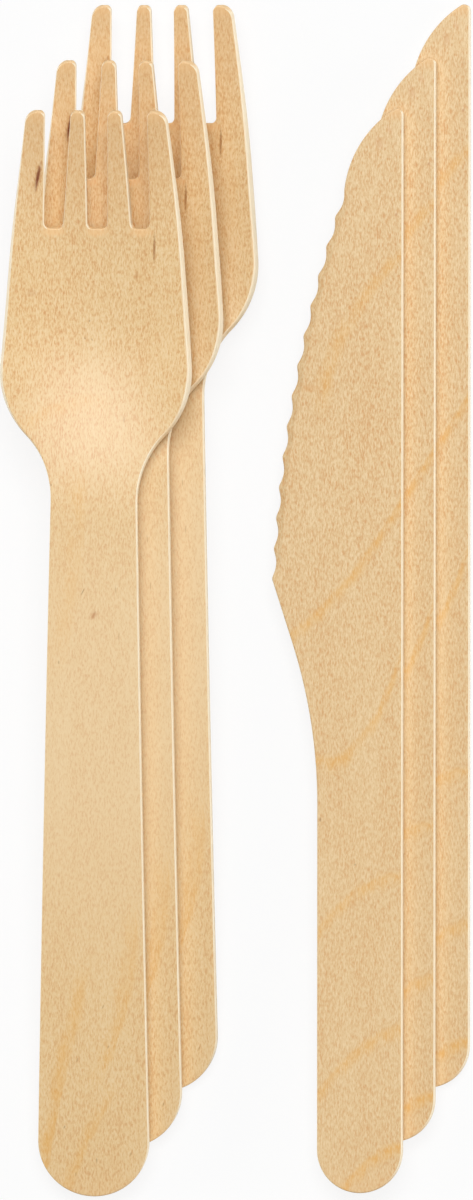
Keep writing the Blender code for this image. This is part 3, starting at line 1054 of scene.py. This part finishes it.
        height = add(MATH, {0: cutter.z, 1: kept}, operation="MULTIPLY")
        low = add(COMBINE, {0: cutter.x, 1: cutter.y, 2: height})
        place = add(VECTOR_MATH, {0: low, 1: shift}, operation="ADD")
        cutter.finish(place, self.veneer().material(), edge)
        return cutter.apply(self.blank().mesh("knife"))


@dataclass(frozen=True)
class Lamp:
    """A soft light that faces the set."""

    name: str
    place: tuple[float, float, float]
    size: tuple[float, float]  # width and height
    power: float  # watts
    mirrored: bool = False  # whether the wood's sheen shows it

    def stand(self) -> None:
        """Put the light in its place."""
        light = bpy.data.lights.new(self.name, "AREA")
        light.shape = "RECTANGLE"
        light.size, light.size_y = self.size
        light.energy = self.power
        lamp = bpy.data.objects.new(self.name, light)
        lamp.location = self.place
        lamp.rotation_euler = (-Vector(self.place)).to_track_quat("-Z", "Y").to_euler()
        lamp.visible_glossy = self.mirrored
        bpy.context.collection.objects.link(lamp)


@dataclass
class Studio:
    """A white floor under soft light, seen from a little to the right of the vertical."""

    frame_height: float = 182.1 * MM  # what the photograph shows from top to bottom
    centre_x: float = -0.58 * MM
    distance: float = 2.5  # far off, with a long lens, so that nothing looks larger for lying higher
    sensor: float = 36.0  # millimetres
    view_end: float = 10.0  # how far the camera sees
    lean: float = 6.5  # degrees that the camera stands off the vertical, to the right
    floor_size: float = 3.0
    paper: str = "#F8F8F8"
    paper_roughness: float = 0.9
    paper_glow: float = 0.85  # how much of the floor is plain white to the camera, without shadow
    air_light: float = 0.16  # light from all round, where 1 is white
    lamps: tuple[Lamp, ...] = (
        Lamp("window light", (0.0, 0.83, 1.56), (1.3, 0.5), 16.3, mirrored=True),
        Lamp("top light", (0.3, 0.05, 1.62), (0.9, 0.9), 7.2),
        Lamp("right light", (1.5, 0.0, 0.32), (0.5, 0.5), 6.6),
        Lamp("left light", (-1.5, 0.0, 0.32), (0.5, 0.5), 6.2),
    )

    def build(self) -> None:
        """Make the floor, the lights, the world and the camera."""
        self.floor()
        for lamp in self.lamps:
            lamp.stand()
        self.world()
        self.camera()
        bpy.context.scene.view_settings.view_transform = "Standard"

    def floor(self) -> None:
        """Make the floor, white to the camera but for the set's soft shadow."""
        half = self.floor_size / 2
        mesh = bpy.data.meshes.new("floor")
        mesh.from_pydata([(-half, -half, 0), (half, -half, 0), (half, half, 0), (-half, half, 0)], [],
                         [(0, 1, 2, 3)])
        floor = bpy.data.objects.new("floor", mesh)
        bpy.context.collection.objects.link(floor)
        material = bpy.data.materials.new("white paper sweep")
        add = node_adder(material)
        paper = add("ShaderNodeBsdfPrincipled", {
            "Base Color": colour(self.paper), "Roughness": self.paper_roughness,
            "Specular IOR Level": 0.0})
        glow = add("ShaderNodeEmission", {"Color": WHITE, "Strength": 1.0})
        share = add(MATH, {0: self.seen(add), 1: self.paper_glow}, operation="MULTIPLY")
        mixed = add("ShaderNodeMixShader", {0: share, 1: paper, 2: glow})
        add("ShaderNodeOutputMaterial", {"Surface": mixed})
        mesh.materials.append(material)

    @staticmethod
    def seen(add: Adder) -> Link:
        """Add the light paths that the camera sees: straight, mirrored or through glass.

        Args:
            add: The function add_node, for a tree of the floor or the world.

        Returns:
            A factor of 1 on those paths and 0 elsewhere.
        """
        paths = add("ShaderNodeLightPath").outputs
        either: Link = paths["Is Camera Ray"]
        for name in ("Is Glossy Ray", "Is Transmission Ray"):
            either = add(MATH, {0: either, 1: paths[name]}, operation="MAXIMUM")
        return either

    def world(self) -> None:
        """Light the set evenly from all round, and show white where the floor ends."""
        world = bpy.data.worlds.new("soft box")
        add = node_adder(world)
        strength = add(MAP_RANGE, Ramp(0.0, 1.0, self.air_light, 1.0).of(self.seen(add)))
        light = add("ShaderNodeBackground", {"Color": WHITE, "Strength": strength})
        add("ShaderNodeOutputWorld", {"Surface": light})
        bpy.context.scene.world = world

    def camera(self) -> None:
        """Make the camera. The picture is 473 by 1200, so its height sets the view."""
        lens = bpy.data.cameras.new("camera")
        lens.sensor_width = self.sensor
        lens.lens = lens.sensor_width * self.distance / self.frame_height
        lens.clip_end = self.view_end
        camera = bpy.data.objects.new("camera", lens)
        lean = math.radians(self.lean)
        target = Vector((self.centre_x, 0, 0))
        camera.location = target + Vector((math.sin(lean), 0, math.cos(lean))) * self.distance
        camera.rotation_euler = (0, lean, 0)
        bpy.context.collection.objects.link(camera)
        bpy.context.scene.camera = camera


def weight_frame(mesh: Mesh) -> Matrix:
    """Find where a solid's weight lies and how it is turned.

    Args:
        mesh: A closed mesh.

    Returns:
        A placement whose origin is the centre of weight. Its axes are the solid's own principal
        axes, from the thinnest way as Z over X to the longest as Y, each within 90 degrees of the
        world's.
    """
    points = np.empty(len(mesh.vertices) * 3)
    mesh.vertices.foreach_get("co", points)
    mesh.calc_loop_triangles()
    corners = np.empty(len(mesh.loop_triangles) * 3, dtype=int)
    mesh.loop_triangles.foreach_get("vertices", corners)
    a, b, c = points.reshape(-1, 3)[corners.reshape(-1, 3)].transpose(1, 0, 2)
    # Each triangle and the world's origin make a wedge: 6, 4 and 20 divide its sums
    wedges = np.einsum("ij,ij->i", a, np.cross(b, c)) / 6
    total = a + b + c
    volume = wedges.sum()
    centre = (wedges[:, None] * total).sum(axis=0) / 4 / volume
    spread = sum(np.einsum("i,ij,ik->jk", wedges, part, part) for part in (a, b, c, total)) / 20 / volume
    axes = np.linalg.eigh(spread - np.outer(centre, centre))[1]
    ordered = [axes[:, 1], axes[:, 2], axes[:, 0]]
    turned = [axis * math.copysign(1, axis[i]) for i, axis in enumerate(ordered)]
    return Matrix.Translation(Vector(centre)) @ Matrix(np.array(turned).T.tolist()).to_4x4()


def lay(kind: str, mesh: Mesh, nodes: dict[str, Object]) -> None:
    """Put a copy of a piece where each node of its stack lies.

    Args:
        kind: The word that the nodes' names start with.
        mesh: The piece.
        nodes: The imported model's nodes by name.
    """
    own = weight_frame(mesh)
    for stack in Stack:
        node = f"{kind}_{stack.value}"
        copy = mesh.copy()
        copy.transform(weight_frame(nodes[node].data) @ own.inverted())
        piece = bpy.data.objects.new(f"{node}_veneer", copy)
        bpy.context.collection.objects.link(piece)
        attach(piece, "root")
        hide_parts(node)
        low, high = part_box(node)
        own_points = [corner.co for corner in copy.vertices]
        off = max((min(p[i] for p in own_points) - low[i], max(p[i] for p in own_points) - high[i])
                  for i in range(3))
        log.info("%s: %d faces, %s mm from its node's box", piece.name, len(copy.polygons),
                 [round(value / MM, 3) for value in off])
    bpy.data.meshes.remove(mesh)


def main() -> None:
    """Dress the set and light it."""
    logging.basicConfig(level=logging.INFO, format="%(message)s")
    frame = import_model()
    sheet = Sheet()
    edge = DieCutEdge().material()
    for kind, piece in (("fork", Fork(sheet)), ("knife", Knife(sheet))):
        lay(kind, piece.build(edge), frame["nodes"])
    Studio().build()


if __name__ == "__main__":
    main()
